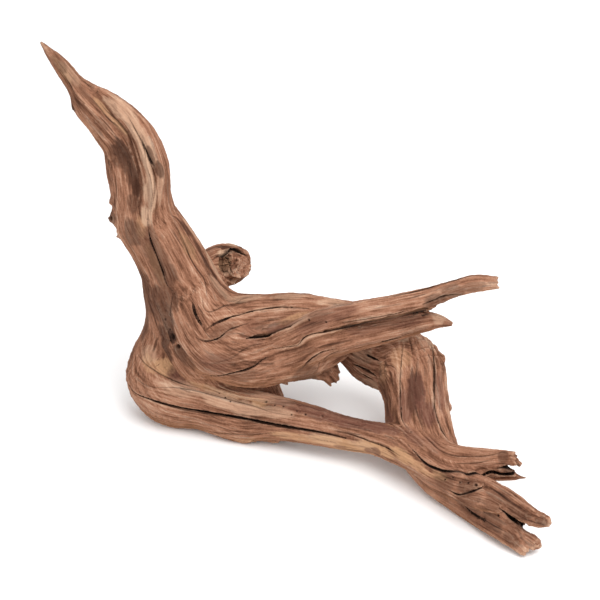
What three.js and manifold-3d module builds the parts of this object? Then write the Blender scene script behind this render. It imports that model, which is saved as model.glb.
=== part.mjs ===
// A piece of driftwood: the weathered foot of a small tree, standing on three of its roots.
// Millimetres, +Z up, origin on the ground under the middle of the piece.
// The whole piece grew as one, so it is one solid. Each limb is a swept ellipse; the limbs are joined,
// then split along the grain, hollowed where the wood has rotted out, and worn flat where it stands.
import * as THREE from "three";
import { mergeVertices } from "three/addons/utils/BufferGeometryUtils.js";
import Module from "manifold-3d";

// The way the broad, flat sides of the limbs look: forwards and half upwards.
const FACING = new THREE.Vector3(0, -0.866, 0.5);

// Each limb is a list of rings from its thick end to its tip: [x, y, z, across, through].
// x, y, z is the ring's centre; across and through are the ellipse's half-sizes, the second along FACING.
const LIMBS = {
  trunk: [
    [-78, 72, 62, 29, 26], [-83, 78, 88, 35, 30], [-93, 82, 117, 33, 28], [-101, 84, 141, 30, 26],
    [-112, 85, 164, 28, 24], [-122, 86, 182, 27, 23], [-126, 86, 203, 25, 21], [-128, 86, 231, 26, 21],
    [-134, 86, 254, 23, 19], [-148, 86, 274, 20, 15], [-164, 86, 290, 15, 12], [-175, 86, 305, 8, 8],
    [-187, 85, 324, 6, 6], [-199, 84, 341, 1, 1],
  ],
  left_flank: [
    [-120, 84, 172, 15, 12], [-111, 84, 143, 15, 14], [-109, 84, 114, 18, 16], [-108, 84, 85, 20, 18],
    [-112, 84, 55, 25, 23],
  ],
  bark_nub: [
    [-132, 84, 197, 8, 7], [-144, 84, 189, 5, 4], [-153, 84, 184, 2, 1],
  ],
  tip_nub: [
    [-163, 86, 280, 6, 5], [-171, 86, 284, 4, 3], [-176, 86, 286, 2, 1],
  ],
  front_root: [
    [-75, 88, 64, 26, 26], [-101, 88, 54, 27, 27], [-115, 76, 37, 31, 28], [-104, 60, 27, 28, 25],
    [-76, 48, 25, 23, 21], [-46, 36, 21, 23, 19], [-20, 26, 25, 19, 17], [5, 16, 27, 17, 15],
    [47, -2, 28, 14, 13], [83, -20, 32, 14, 13], [107, -34, 32, 13, 12], [131, -46, 33, 11, 10],
    [158, -56, 36, 11, 10], [180, -64, 40, 10, 9],
  ],
  belly: [
    [-87, 64, 118, 25, 20], [-67, 52, 91, 31, 25], [-39, 50, 75, 30, 24], [-8, 50, 73, 23, 18],
    [20, 50, 77, 20, 12], [40, 48, 83, 12, 6],
  ],
  heartwood: [
    [-92, 62, 80, 20, 20], [-80, 58, 61, 20, 20], [-67, 54, 41, 12, 12],
  ],
  upper_lobe: [
    [-96, 76, 123, 27, 24], [-61, 68, 102, 22, 18], [-29, 62, 103, 19, 15], [5, 58, 109, 17, 13],
    [34, 54, 110, 13, 11], [57, 52, 113, 8, 6],
  ],
  upper_plank: [
    [-27, 50, 75, 12, 11], [-2, 42, 96, 12, 11], [22, 40, 109, 12, 10], [46, 38, 119, 10, 8],
    [79, 36, 127, 10, 8], [108, 35, 135, 10, 8], [126, 34, 145, 7, 5], [148, 33, 152, 7, 5],
    [166, 32, 153, 5, 3],
  ],
  lower_plank: [
    [-46, 50, 60, 14, 12], [-8, 44, 75, 15, 14], [26, 42, 90, 14, 13], [55, 41, 97, 12, 9],
    [88, 41, 105, 10, 8], [113, 41, 111, 8, 7], [132, 41, 108, 2, 1],
  ],
  splinter: [
    [97, 37, 128, 6, 5], [117, 38, 128, 4, 3], [128, 38, 124, 2, 1],
  ],
  torn_flap: [
    [-10, 52, 64, 15, 12], [12, 52, 64, 14, 7], [27, 50, 61, 9, 4], [36, 50, 46, 2, 1],
  ],
  arched_root: [
    [-34, 96, 54, 21, 19], [5, 96, 54, 19, 17], [40, 88, 62, 15, 13], [67, 72, 54, 21, 15],
    [93, 50, 62, 31, 23], [102, 24, 48, 27, 20], [105, -6, 34, 27, 20], [120, -46, 21, 21, 18],
    [150, -86, 19, 20, 17], [172, -114, 17, 17, 16], [184, -130, 18, 15, 13],
  ],
  grafted_root: [
    [71, -18, 28, 10, 9], [99, -44, 29, 10, 9], [121, -68, 29, 9, 8], [141, -88, 36, 8, 7],
    [150, -94, 39, 5, 4],
  ],
  knuckle: [
    [110, -56, 21, 8, 7], [134, -84, 25, 8, 8], [152, -104, 31, 7, 7], [161, -112, 32, 5, 4],
  ],
  back_stub: [
    [-84, 98, 102, 21, 21], [-69, 112, 120, 19, 19], [-55, 114, 125, 18, 18], [-47, 108, 130, 14, 14],
  ],
  rear_root: [
    [-69, 92, 57, 23, 23], [-46, 94, 32, 21, 21], [-28, 95, 10, 15, 15], [-17, 93, -3, 10, 10],
  ],
};

// Drying splits that follow the grain, and hollows where wood has gone, as rings like those of a limb.
const SPLITS = {
  plank_split: [
    [-9, 34, 88, 0.7, 5], [8, 31, 98, 1.0, 7], [26, 31, 107, 1.0, 8], [60, 38, 111, 1.2, 12],
    [88, 38, 118, 1.7, 12], [111, 38, 125, 2.3, 12], [130, 38, 122, 3.1, 12],
  ],
  trunk_split: [
    [-119, 65, 188, 0.7, 4], [-112, 61, 161, 1.1, 6], [-106, 59, 136, 1.1, 6], [-103, 54, 114, 1.1, 6],
    [-96, 41, 91, 0.8, 4],
  ],
  side_split: [
    [-99, 74, 185, 0.7, 4], [-92, 70, 169, 1.0, 5], [-84, 68, 153, 1.0, 5], [-75, 66, 135, 0.9, 5],
    [-71, 50, 126, 0.7, 4],
  ],
  hub_split: [
    [-73, 33, 106, 0.7, 4], [-56, 41, 112, 1.1, 6], [-37, 52, 111, 1.2, 6], [-8, 52, 118, 1.0, 6],
    [20, 48, 118, 0.7, 4],
  ],
  plank_seam: [
    [-39, 37, 97, 0.8, 4], [-27, 43, 96, 1.3, 5], [-16, 44, 99, 1.3, 5], [5, 40, 113, 0.8, 4],
  ],
  belly_split: [
    [-69, 42, 55, 0.8, 4], [-48, 25, 72, 1.0, 5], [-35, 27, 77, 1.0, 5], [-22, 32, 82, 0.8, 4],
  ],
  elbow_split: [
    [-133, 74, 59, 0.8, 4], [-120, 55, 53, 1.0, 5], [-105, 49, 48, 1.0, 5], [-81, 42, 45, 0.8, 4],
  ],
  root_split: [
    [-138, 57, 31, 0.8, 4], [-127, 47, 31, 1.4, 7], [-93, 32, 30, 1.7, 8], [-56, 23, 29, 1.5, 8],
    [-23, 11, 30, 1.3, 7], [5, 1, 30, 1.1, 6], [36, -11, 28, 0.7, 4],
  ],
  post_split: [
    [114, 47, 79, 0.8, 4], [117, 25, 68, 1.2, 6], [116, -3, 54, 1.2, 6], [120, -23, 46, 1.0, 5],
    [125, -30, 42, 0.7, 4],
  ],
  post_crack: [
    [89, 36, 78, 0.8, 4], [88, 20, 65, 1.0, 5], [90, -13, 47, 0.7, 4],
  ],
  tongue_edge: [
    [-121, 72, 257, 1.3, 4], [-118, 71, 249, 1.1, 4], [-116, 70, 241, 0.8, 3],
  ],
  torn_groove: [
    [-151, 76, 288, 1.2, 3], [-142, 74, 279, 2.1, 4], [-134, 71, 267, 1.2, 3],
  ],
  log_slot: [
    [160, -112, 32, 1.2, 5], [167, -118, 30, 2.0, 8], [175, -127, 29, 2.7, 10],
    [187, -126, 22, 3.3, 12], [198, -128, 17, 3.9, 14],
  ],
  log_notch: [
    [172, -136, 18, 0.9, 5], [181, -132, 10, 1.6, 8], [191, -126, 0, 2.7, 12],
  ],
  root_hollow: [
    [166, -57, 33, 1.6, 4], [174, -61, 34, 3.2, 6], [186, -65, 35, 4.0, 7],
  ],
  stub_hollow: [
    [-62, 106, 136, 3.4, 3], [-55, 102, 133, 7.7, 7], [-47, 106, 126, 8.6, 7], [-41, 109, 121, 4.3, 4],
  ],
  knot_pit: [
    [-128, 66, 236, 2.4, 3], [-126, 66, 229, 4.1, 6], [-127, 66, 220, 4.1, 6], [-128, 66, 213, 2.4, 3],
  ],
  root_pit: [
    [-84, 37, 72, 1.7, 3], [-79, 40, 65, 3.4, 8], [-75, 40, 60, 1.7, 4],
  ],
};

const LIMB_SIDES = 12; // corners round each limb ring
const SPLIT_SIDES = 4; // corners round each ring of a split
const STEPS = 2; // rings made for each listed one
const WORN = 2.5; // height of the ground the three feet are worn flat to
const SLAB = 600; // size of the block of ground taken away below the feet

const wasm = await Module();
wasm.setup();

// A closed three.js geometry as a manifold-3d solid, for joining and cutting.
function solidOf(geometry) {
  geometry.deleteAttribute("normal");
  geometry.deleteAttribute("uv");
  const merged = mergeVertices(geometry, 1e-3);
  return new wasm.Manifold(
    new wasm.Mesh({
      numProp: 3,
      vertProperties: merged.attributes.position.array,
      triVerts: new Uint32Array(merged.index.array),
    }),
  );
}

function geometryOf(solid) {
  const mesh = solid.getMesh();
  const geometry = new THREE.BufferGeometry()
    .setAttribute("position", new THREE.BufferAttribute(mesh.vertProperties, 3))
    .setIndex(new THREE.BufferAttribute(mesh.triVerts, 1));
  geometry.computeVertexNormals();
  return geometry;
}

// Sweeps an ellipse through the rings: a unit cylinder whose rings are moved onto the limb's own curve.
function sweep(rings, sides) {
  const centre = new THREE.CatmullRomCurve3(rings.map(([x, y, z]) => new THREE.Vector3(x, y, z)));
  const size = new THREE.CatmullRomCurve3(rings.map(([, , , a, b]) => new THREE.Vector3(a, b, 0)));
  const cylinder = new THREE.CylinderGeometry(1, 1, 1, sides, (rings.length - 1) * STEPS);
  const points = cylinder.attributes.position;
  for (let i = 0; i < points.count; i++) {
    const along = points.getY(i) + 0.5;
    const direction = centre.getTangent(along);
    const side = new THREE.Vector3().crossVectors(FACING, direction).normalize();
    const face = new THREE.Vector3().crossVectors(direction, side);
    const half = size.getPoint(along);
    const at = centre
      .getPoint(along)
      .addScaledVector(side, points.getZ(i) * Math.max(half.x, 0.5))
      .addScaledVector(face, points.getX(i) * Math.max(half.y, 0.5));
    points.setXYZ(i, at.x, at.y, at.z);
  }
  return solidOf(cylinder);
}

// All the swept shapes of one table joined together.
function joined(table, sides) {
  return Object.values(table)
    .map((rings) => sweep(rings, sides))
    .reduce((whole, next) => whole.add(next));
}

// Wears the feet flat at the ground, and moves the middle of the piece over the origin.
function stood(wood) {
  const ground = solidOf(new THREE.BoxGeometry(SLAB, SLAB, SLAB).translate(0, 0, WORN - SLAB / 2));
  const worn = wood.subtract(ground);
  const { min, max } = worn.boundingBox();
  return worn.translate([-(min[0] + max[0]) / 2, -(min[1] + max[1]) / 2, -WORN]);
}

const grown = joined(LIMBS, LIMB_SIDES);
const weathered = grown.subtract(joined(SPLITS, SPLIT_SIDES));

const part = new THREE.Group();
const material = new THREE.MeshStandardMaterial({ color: 0x966e59, roughness: 0.85, metalness: 0 });
const piece = new THREE.Mesh(geometryOf(stood(weathered)), material);
piece.name = "driftwood";
part.add(piece);

export default part;
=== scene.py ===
"""A piece of driftwood: one weathered, twisted tree foot with a split side branch, standing on three roots.

The wood is built as a distance field (all lengths in millimetres until the mesh is made): limbs are swept
ellipses joined smoothly, broken ends are frayed, drying cracks are cut along the grain, and the field is
turned into a mesh. The grain is noise smeared along the flow of the fibres, and moves and colours the mesh.
"""

import math

import bpy
import numpy as np
import openvdb
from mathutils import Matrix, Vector


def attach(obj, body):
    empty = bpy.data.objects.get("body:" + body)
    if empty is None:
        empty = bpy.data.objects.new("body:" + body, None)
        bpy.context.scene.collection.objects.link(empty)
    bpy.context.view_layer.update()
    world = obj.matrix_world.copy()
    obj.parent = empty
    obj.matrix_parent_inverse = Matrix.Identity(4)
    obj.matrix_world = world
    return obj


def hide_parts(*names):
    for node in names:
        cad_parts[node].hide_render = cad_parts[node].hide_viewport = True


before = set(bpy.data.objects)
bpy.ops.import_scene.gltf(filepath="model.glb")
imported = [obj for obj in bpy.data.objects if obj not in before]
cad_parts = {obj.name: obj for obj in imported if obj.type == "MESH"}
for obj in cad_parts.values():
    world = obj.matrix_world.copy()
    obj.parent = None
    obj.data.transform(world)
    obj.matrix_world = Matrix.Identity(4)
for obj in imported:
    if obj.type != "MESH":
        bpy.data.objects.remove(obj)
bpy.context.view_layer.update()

FACING = np.array([0.0, -0.866, 0.5])  # the way the limbs' broad sides look
MIDDLE = np.array([2.5, 3.0, -2.5])  # moves the listed points over the piece's middle, feet on the ground

# Rings of each limb from its thick end to its tip: x, y, z, half-size across, half-size through.
LIMBS = {
    "trunk": [
        (-78, 72, 62, 29, 26), (-83, 78, 88, 35, 30), (-93, 82, 117, 33, 28), (-101, 84, 141, 30, 26),
        (-112, 85, 164, 28, 24), (-122, 86, 182, 27, 23), (-126, 86, 203, 25, 21),
        (-128, 86, 231, 26, 21), (-134, 86, 254, 23, 19), (-148, 86, 274, 20, 15),
        (-164, 86, 290, 15, 12), (-175, 86, 305, 8, 8), (-187, 85, 324, 6, 6), (-199, 84, 341, 1, 1),
    ],
    "left_flank": [
        (-120, 84, 172, 15, 12), (-111, 84, 143, 15, 14), (-109, 84, 114, 18, 16),
        (-108, 84, 85, 20, 18), (-112, 84, 55, 25, 23),
    ],
    "bark_nub": [(-132, 84, 197, 8, 7), (-144, 84, 189, 5, 4), (-153, 84, 184, 2, 1)],
    "tip_nub": [(-163, 86, 280, 6, 5), (-171, 86, 284, 4, 3), (-176, 86, 286, 2, 1)],
    "front_root": [
        (-75, 88, 64, 26, 26), (-101, 88, 54, 27, 27), (-115, 76, 37, 31, 28), (-104, 60, 27, 28, 25),
        (-76, 48, 25, 23, 21), (-46, 36, 21, 23, 19), (-20, 26, 25, 19, 17), (5, 16, 27, 17, 15),
        (47, -2, 28, 14, 13), (83, -20, 32, 14, 13), (107, -34, 32, 13, 12), (131, -46, 33, 11, 10),
        (158, -56, 36, 11, 10), (180, -64, 40, 10, 9),
    ],
    "belly": [
        (-87, 64, 118, 25, 20), (-67, 52, 91, 31, 25), (-39, 50, 75, 30, 24), (-8, 50, 73, 23, 18),
        (20, 50, 77, 20, 12), (40, 48, 83, 12, 6),
    ],
    "heartwood": [(-92, 62, 80, 20, 20), (-80, 58, 61, 20, 20), (-67, 54, 41, 12, 12)],
    "upper_lobe": [
        (-96, 76, 123, 27, 24), (-61, 68, 102, 22, 18), (-29, 62, 103, 19, 15), (5, 58, 109, 17, 13),
        (34, 54, 110, 13, 11), (57, 52, 113, 8, 6),
    ],
    "upper_plank": [
        (-27, 50, 75, 12, 11), (-2, 42, 96, 12, 11), (22, 40, 109, 12, 10), (46, 38, 119, 10, 8),
        (79, 36, 127, 10, 8), (108, 35, 135, 10, 8), (126, 34, 145, 7, 5), (148, 33, 152, 7, 5),
        (166, 32, 153, 5, 3),
    ],
    "lower_plank": [
        (-46, 50, 60, 14, 12), (-8, 44, 75, 15, 14), (26, 42, 90, 14, 13), (55, 41, 97, 12, 9),
        (88, 41, 105, 10, 8), (113, 41, 111, 8, 7), (132, 41, 108, 2, 1),
    ],
    "splinter": [(97, 37, 128, 6, 5), (117, 38, 128, 4, 3), (128, 38, 124, 2, 1)],
    "torn_flap": [
        (-10, 52, 64, 15, 12), (12, 52, 64, 14, 7), (26, 50, 60, 11, 4), (34, 50, 50, 7, 2.5),
    ],
    "arched_root": [
        (-34, 96, 54, 21, 19), (5, 96, 54, 19, 17), (40, 88, 61, 16, 14), (67, 72, 54, 22, 16),
        (94, 50, 61, 31, 24), (102, 24, 48, 27, 20), (105, -6, 34, 27, 20), (120, -46, 21, 21, 18),
        (146, -80, 18, 18, 16), (163, -102, 18, 16, 14), (171, -112, 18, 13, 12),
    ],
    "log_upper": [
        (141, -72, 28, 10, 9), (166, -102, 30, 11, 10), (182, -120, 31, 8, 7), (194, -134, 35, 5, 5),
    ],
    "log_lower": [
        (134, -72, 12, 12, 11), (155, -102, 14, 11, 10), (168, -120, 14, 9, 8), (179, -134, 8, 4, 3),
    ],
    "log_finger": [
        (160, -104, 16, 9, 8), (174, -118, 14, 7, 7), (185, -128, 12, 6, 6), (189, -133, 12, 5, 5),
    ],
    "tongue": [
        (-157, 82, 298, 6, 4), (-142, 78, 286, 10, 6), (-128, 75, 270, 11, 6), (-120, 73, 251, 11, 6),
        (-116, 72, 232, 11, 5), (-117, 71, 212, 9, 6), (-121, 71, 197, 7, 5), (-124, 72, 184, 3, 3),
    ],
    "knee_nub": [(113, 46, 68, 7, 5), (121, 46, 71, 5, 4), (126, 46, 72, 3, 2)],
    "post_nub": [(120, 14, 43, 8, 6), (128, 14, 43, 4, 3), (131, 14, 43, 2, 1)],
    "fork_tooth": [(151, -54, 23, 5, 4), (173, -62, 27, 4, 3), (186, -68, 30, 1, 1)],
    "grafted_root": [
        (71, -18, 28, 10, 9), (99, -44, 29, 10, 9), (121, -68, 29, 9, 8), (141, -88, 36, 8, 7),
        (150, -94, 39, 5, 4),
    ],
    "knuckle": [
        (110, -56, 21, 8, 7), (134, -84, 25, 8, 8), (152, -104, 31, 7, 7), (161, -112, 32, 5, 4),
    ],
    "back_stub": [
        (-84, 98, 102, 21, 21), (-69, 112, 120, 19, 19), (-55, 114, 125, 18, 18),
        (-47, 108, 130, 14, 14),
    ],
    "split_back": [
        (30, 46, 97, 8, 4), (63, 47, 105, 7, 3), (92, 46, 113, 5, 2.5), (111, 44, 119, 3, 2),
    ],
    "chip_a": [(-46, 30, 8, 8, 5), (-41, 21, 8, 5, 3), (-37, 17, 8, 1, 1)],
    "chip_b": [(-22, 27, 8, 7, 4), (-17, 20, 8, 4, 2), (-14, 16, 8, 1, 1)],
    "edge_nub_a": [(-140, 83, 206, 6, 6), (-149, 83, 202, 3, 3), (-152, 83, 200, 1, 1)],
    "edge_nub_b": [(-137, 83, 176, 6, 6), (-144, 83, 170, 3, 3), (-148, 83, 168, 1, 1)],
    "splinter_low": [(107, 31, 134, 5, 4), (118, 31, 129, 3, 2), (126, 31, 127, 1, 1)],
    "flap_tooth": [(20, 47, 57, 6, 4), (27, 47, 51, 3, 2), (31, 47, 44, 1, 1)],
    "flap_chip": [(-14, 47, 57, 7, 5), (-9, 47, 50, 4, 3), (-6, 47, 45, 1, 1)],
    "rear_root": [
        (-69, 92, 57, 23, 23), (-46, 94, 32, 21, 21), (-28, 95, 10, 15, 15), (-17, 93, -3, 10, 10),
    ],
}
GRAIN_BACKWARDS = ("trunk",)  # their fibres run from the tip towards the hub
FRAYED = {  # broken ends, and how unequal their fibres are
    "front_root": 6, "log_upper": 7, "log_lower": 6, "log_finger": 2, "grafted_root": 7, "back_stub": 3,
    "upper_plank": 4, "splinter": 7, "splinter_low": 5, "lower_plank": 3, "torn_flap": 10,
}
SOFTNESS = {  # how softly a limb flows into the wood already there; the rest use JOIN
    "tongue": 0.8, "upper_plank": 2.5, "lower_plank": 3.0, "upper_lobe": 4.0, "torn_flap": 4.0,
    "grafted_root": 2.5, "knuckle": 2.0, "splinter": 2.0, "log_upper": 1.5, "log_lower": 1.5,
    "log_finger": 1.0, "back_stub": 4.0, "arched_root": 5.0, "fork_tooth": 1.5, "knee_nub": 4.0,
    "post_nub": 4.0, "rear_root": 5.0, "splinter_low": 1.5, "split_back": 1.0,
    "flap_tooth": 2.0, "flap_chip": 2.0,
    "chip_a": 4.0, "chip_b": 4.0, "edge_nub_a": 3.0, "edge_nub_b": 3.0,
}

# Cracks: half-width, depth, how they end, then points on the surface along the grain.
CRACKS = {
    "trunk_split": (0.4, 5, "closed", [
        (-120, 64, 191), (-118, 62, 176), (-113, 60, 161), (-109, 58, 148), (-106, 57, 137),
        (-101, 54, 133),
    ]),
    "trunk_foot_split": (0.4, 5, "closed", [
        (-101, 52, 130), (-102, 49, 119), (-103, 47, 109), (-100, 43, 100), (-97, 40, 92),
        (-92, 37, 82),
    ]),
    "side_split": (0.3, 4, "closed", [
        (-99, 75, 186), (-91, 71, 169), (-84, 67, 152), (-76, 66, 139), (-73, 58, 135), (-72, 46, 124),
    ]),
    "hub_hook": (0.35, 3, "closed", [
        (-84, 48, 127), (-83, 43, 121), (-80, 38, 115), (-75, 33, 109),
    ]),
    "hub_split": (0.5, 5, "closed", [
        (-73, 32, 108), (-65, 36, 112), (-53, 44, 113), (-41, 51, 113), (-27, 52, 116), (-13, 52, 118),
        (1, 50, 119), (12, 48, 119),
    ]),
    "inner_fold": (0.35, 2, "closed", [
        (-76, 48, 128), (-75, 44, 122), (-71, 42, 119), (-65, 44, 120), (-57, 52, 120), (-49, 60, 118),
    ]),
    "lower_fold": (0.45, 3, "closed", [
        (-81, 31, 101), (-75, 29, 99), (-68, 28, 100), (-61, 30, 102), (-55, 34, 106), (-47, 39, 107),
        (-37, 47, 106),
    ]),
    "lobe_nick": (0.4, 2, "closed", [
        (-49, 59, 118), (-43, 64, 120), (-36, 65, 120),
    ]),
    "seam": (1.7, 7, "closed", [
        (-39, 35, 98), (-32, 39, 97), (-24, 43, 96), (-15, 42, 101), (-5, 37, 108), (3, 37, 113),
        (10, 38, 117),
    ]),
    "plank_split": (0.75, 9, "open", [
        (-27, 32, 85), (-20, 35, 87), (-8, 32, 91), (3, 31, 94), (8, 30, 101), (15, 30, 105),
        (26, 30, 107), (42, 31, 110), (61, 31, 115), (82, 30, 121),
    ]),
    "plank_gape": (3.3, 11, "gape", [
        (26, 30, 108), (42, 31, 111), (61, 31, 115), (82, 30, 121), (103, 27, 128), (116, 31, 129),
        (128, 38, 126),
    ]),
    "belly_split": (0.45, 4, "closed", [
        (-77, 36, 61), (-66, 28, 65), (-53, 24, 70), (-41, 24, 73), (-33, 26, 76), (-27, 29, 80),
        (-22, 31, 82),
    ]),
    "belly_line": (0.3, 2, "closed", [
        (-70, 25, 79), (-52, 25, 85), (-40, 31, 91), (-27, 37, 92),
    ]),
    "elbow_split": (0.42, 4, "closed", [
        (-134, 71, 61), (-127, 61, 57), (-118, 54, 54), (-107, 49, 50), (-94, 44, 47), (-80, 39, 46),
    ]),
    "root_split": (0.85, 7, "closed", [
        (-143, 61, 35), (-137, 53, 33), (-127, 44, 33), (-110, 36, 32), (-93, 32, 30), (-77, 27, 30),
        (-56, 21, 30), (-39, 16, 30), (-23, 10, 30), (-7, 5, 30), (22, -5, 31), (42, -14, 31),
    ]),
    "root_line": (0.3, 2, "closed", [
        (-134, 55, 44), (-121, 46, 43), (-97, 41, 45), (-67, 34, 42), (-37, 23, 40), (-20, 15, 38),
        (5, 6, 39),
    ]),
    "root_edge": (0.4, 3, "closed", [
        (34, -9, 35), (50, -16, 35), (64, -24, 34), (75, -31, 34), (86, -42, 33),
    ]),
    "root_under": (0.35, 2, "closed", [
        (-80, 33, 9), (-58, 19, 13), (-33, 11, 18), (-16, 6, 23),
    ]),
    "post_split": (0.75, 6, "closed", [
        (116, 51, 82), (117, 36, 76), (118, 24, 69), (116, 3, 57), (117, -11, 52), (121, -25, 47),
        (127, -36, 43),
    ]),
    "post_line_a": (0.42, 4, "closed", [
        (92, 47, 86), (89, 28, 76), (88, 17, 64), (88, 0, 55), (89, -12, 48), (94, -24, 46),
    ]),
    "post_line_b": (0.35, 3, "closed", [
        (103, 32, 79), (101, 17, 67),
    ]),
    "post_line_c": (0.4, 3, "closed", [
        (100, -4, 56), (103, -17, 51), (106, -27, 47),
    ]),
    "post_line_d": (0.35, 2, "closed", [
        (98, 49, 88), (99, 36, 82),
    ]),
    "slab_split_a": (0.9, 5, "closed", [
        (50, 64, 55), (56, 59, 55), (63, 52, 55), (70, 44, 55),
    ]),
    "slab_split_b": (0.6, 4, "closed", [
        (61, 63, 65), (66, 55, 67), (71, 45, 70),
    ]),
    "slab_split_c": (0.6, 4, "closed", [
        (54, 59, 50), (61, 53, 49), (67, 47, 49),
    ]),
    "fork_gap": (1.2, 8, "gape", [
        (93, -37, 40), (98, -44, 38), (106, -57, 36), (116, -66, 36), (123, -71, 37), (134, -75, 39),
        (149, -73, 38), (163, -68, 34), (175, -71, 36),
    ]),
    "fork_hollow": (2.6, 9, "gape", [
        (163, -68, 39), (171, -70, 41), (180, -62, 34),
    ]),
    "fork_line_a": (0.35, 2, "closed", [
        (107, -33, 45), (117, -46, 42), (128, -53, 41), (143, -57, 43), (157, -60, 46), (169, -59, 48),
    ]),
    "fork_line_b": (0.35, 2, "closed", [
        (130, -59, 38), (146, -61, 39), (159, -63, 44),
    ]),
    "graft_gap": (0.75, 4, "closed", [
        (123, -82, 28), (130, -90, 29), (139, -95, 35), (148, -96, 40),
    ]),
    "log_slot": (2.2, 12, "gape", [
        (161, -116, 34), (167, -118, 29), (175, -122, 26), (184, -121, 18),
    ]),
    "log_line_a": (0.35, 3, "closed", [
        (126, -87, 24), (140, -98, 18), (152, -113, 19), (165, -125, 19),
    ]),
    "log_line_b": (0.3, 3, "closed", [
        (155, -93, 39), (165, -107, 38), (176, -119, 37),
    ]),
    "flap_split_a": (0.4, 3, "closed", [
        (8, 31, 72), (15, 29, 82), (23, 29, 88), (35, 29, 91),
    ]),
    "flap_split_b": (0.45, 3, "closed", [
        (19, 35, 65), (23, 34, 76), (28, 30, 84), (40, 30, 91),
    ]),
    "plank_notch": (1.1, 6, "closed", [
        (106, 26, 136), (116, 27, 140), (126, 28, 143), (137, 28, 144),
    ]),
    "tongue_wedge": (0.4, 3, "closed", [
        (-122, 69, 264), (-119, 68, 255), (-116, 67, 247), (-113, 68, 241),
    ]),
    "tongue_line": (0.4, 2, "closed", [
        (-132, 72, 282), (-126, 70, 270), (-121, 68, 259), (-119, 67, 242), (-116, 67, 229),
        (-115, 65, 216),
    ]),
    "torn_groove": (0.35, 2.5, "closed", [
        (-154, 76, 292), (-149, 73, 286), (-142, 71, 280), (-137, 70, 274), (-133, 69, 267),
    ]),
    "torn_groove_b": (0.3, 2, "closed", [
        (-162, 77, 297), (-155, 75, 289), (-149, 73, 281), (-141, 71, 274),
    ]),
    "tip_line": (0.35, 2, "closed", [
        (-185, 79, 320), (-178, 79, 308), (-174, 77, 299), (-167, 75, 293),
    ]),
    "stub_crevice": (1.1, 5, "closed", [
        (-68, 103, 137), (-62, 106, 138), (-53, 110, 141), (-47, 115, 136), (-41, 117, 131),
    ]),
}

# Grooves (depth above 0) and ribs (below 0) with soft sides: half-width, depth, points along them.
FOLDS = {
    "trunk_foot": (3, 1.8, [
        (-101, 51, 129), (-103, 47, 109), (-98, 42, 93), (-91, 35, 82), (-82, 34, 70),
    ]),
    "trunk_hollow": (7.5, 4, [
        (-154, 71, 268), (-144, 69, 258), (-138, 67, 249), (-133, 65, 234), (-131, 66, 219),
        (-133, 66, 200),
    ]),
    "deep_pit": (3.4, 3.6, [
        (-129, 65, 233), (-127, 65, 223), (-129, 66, 214),
    ]),
    "knot_lump": (3.6, -2.2, [
        (-99, 53, 131), (-95, 50, 129), (-91, 48, 128),
    ]),
    "hollow_lip": (2, -1.2, [
        (-155, 72, 262), (-150, 72, 251), (-148, 73, 237), (-146, 71, 219),
    ]),
    "tongue_left": (1.3, 2.6, [
        (-152, 75, 291), (-144, 71, 281), (-134, 69, 269), (-130, 68, 257), (-126, 66, 242),
        (-124, 66, 228), (-124, 66, 215), (-127, 65, 202), (-124, 64, 190),
    ]),
    "tongue_right": (1.1, 1.8, [
        (-124, 69, 264), (-118, 67, 252), (-114, 68, 237), (-113, 66, 222), (-116, 65, 206),
        (-121, 64, 190),
    ]),
    "tongue_crown": (3.6, -1.6, [
        (-142, 73, 288), (-130, 69, 272), (-123, 68, 255), (-120, 67, 236), (-119, 66, 218),
        (-121, 65, 200),
    ]),
    "lens_hollow": (5, 2.6, [
        (-37, 40, 100), (-23, 45, 104), (-10, 46, 109), (5, 46, 115),
    ]),
    "hub_u": (2.4, 1.2, [
        (-83, 46, 125), (-80, 38, 116), (-73, 32, 108), (-63, 36, 112), (-52, 45, 113), (-35, 51, 114),
    ]),
    "hub_rib": (2.6, -1, [
        (-75, 30, 103), (-61, 33, 107), (-47, 43, 109), (-32, 48, 110),
    ]),
    "belly_rib": (3, -1, [
        (-73, 28, 71), (-55, 24, 78), (-40, 27, 84), (-23, 35, 88),
    ]),
    "plank_rib": (2.6, -1.5, [
        (-30, 36, 93), (-16, 37, 97), (-3, 34, 106), (6, 35, 113), (15, 37, 118), (26, 38, 124),
        (43, 36, 128),
    ]),
    "plank_dip": (2.2, 1.3, [
        (23, 36, 122), (38, 35, 126), (56, 34, 131),
    ]),
    "bark_edge": (3, 1.8, [
        (-127, 71, 72), (-114, 62, 82), (-102, 45, 86), (-92, 37, 80),
    ]),
    "streak_dip_a": (1.4, 0.8, [
        (-91, 79, 180), (-82, 76, 163), (-74, 75, 147), (-67, 65, 133),
    ]),
    "streak_dip_b": (1.4, 0.8, [
        (-79, 79, 160), (-70, 77, 141), (-59, 72, 125),
    ]),
    "post_dip_a": (2.6, 1.2, [
        (96, 41, 85), (94, 18, 68), (96, -18, 48),
    ]),
    "post_dip_b": (2, 0.9, [
        (110, 41, 83), (108, 12, 63), (110, -26, 48),
    ]),
    "post_side": (2.2, 1.2, [
        (76, 47, 78), (75, 33, 66), (78, 18, 52),
    ]),
    "log_dip": (2.6, 1.3, [
        (114, -73, 25), (132, -90, 18), (151, -113, 17), (165, -128, 15),
    ]),
    "root_dip": (2, 0.9, [
        (-12, 5, 20), (22, -6, 23), (55, -19, 25), (80, -39, 29),
    ]),
    "stub_hollow": (6.5, 5, [
        (-57, 100, 135), (-51, 102, 130), (-48, 104, 127),
    ]),
    "neck_dip": (2.5, 1.5, [
        (-172, 78, 302), (-163, 75, 292), (-152, 71, 280), (-146, 69, 267),
    ]),
    "fork_dip": (2, 1, [
        (110, -46, 39), (127, -56, 39), (149, -60, 43), (169, -65, 47),
    ]),
}

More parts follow.
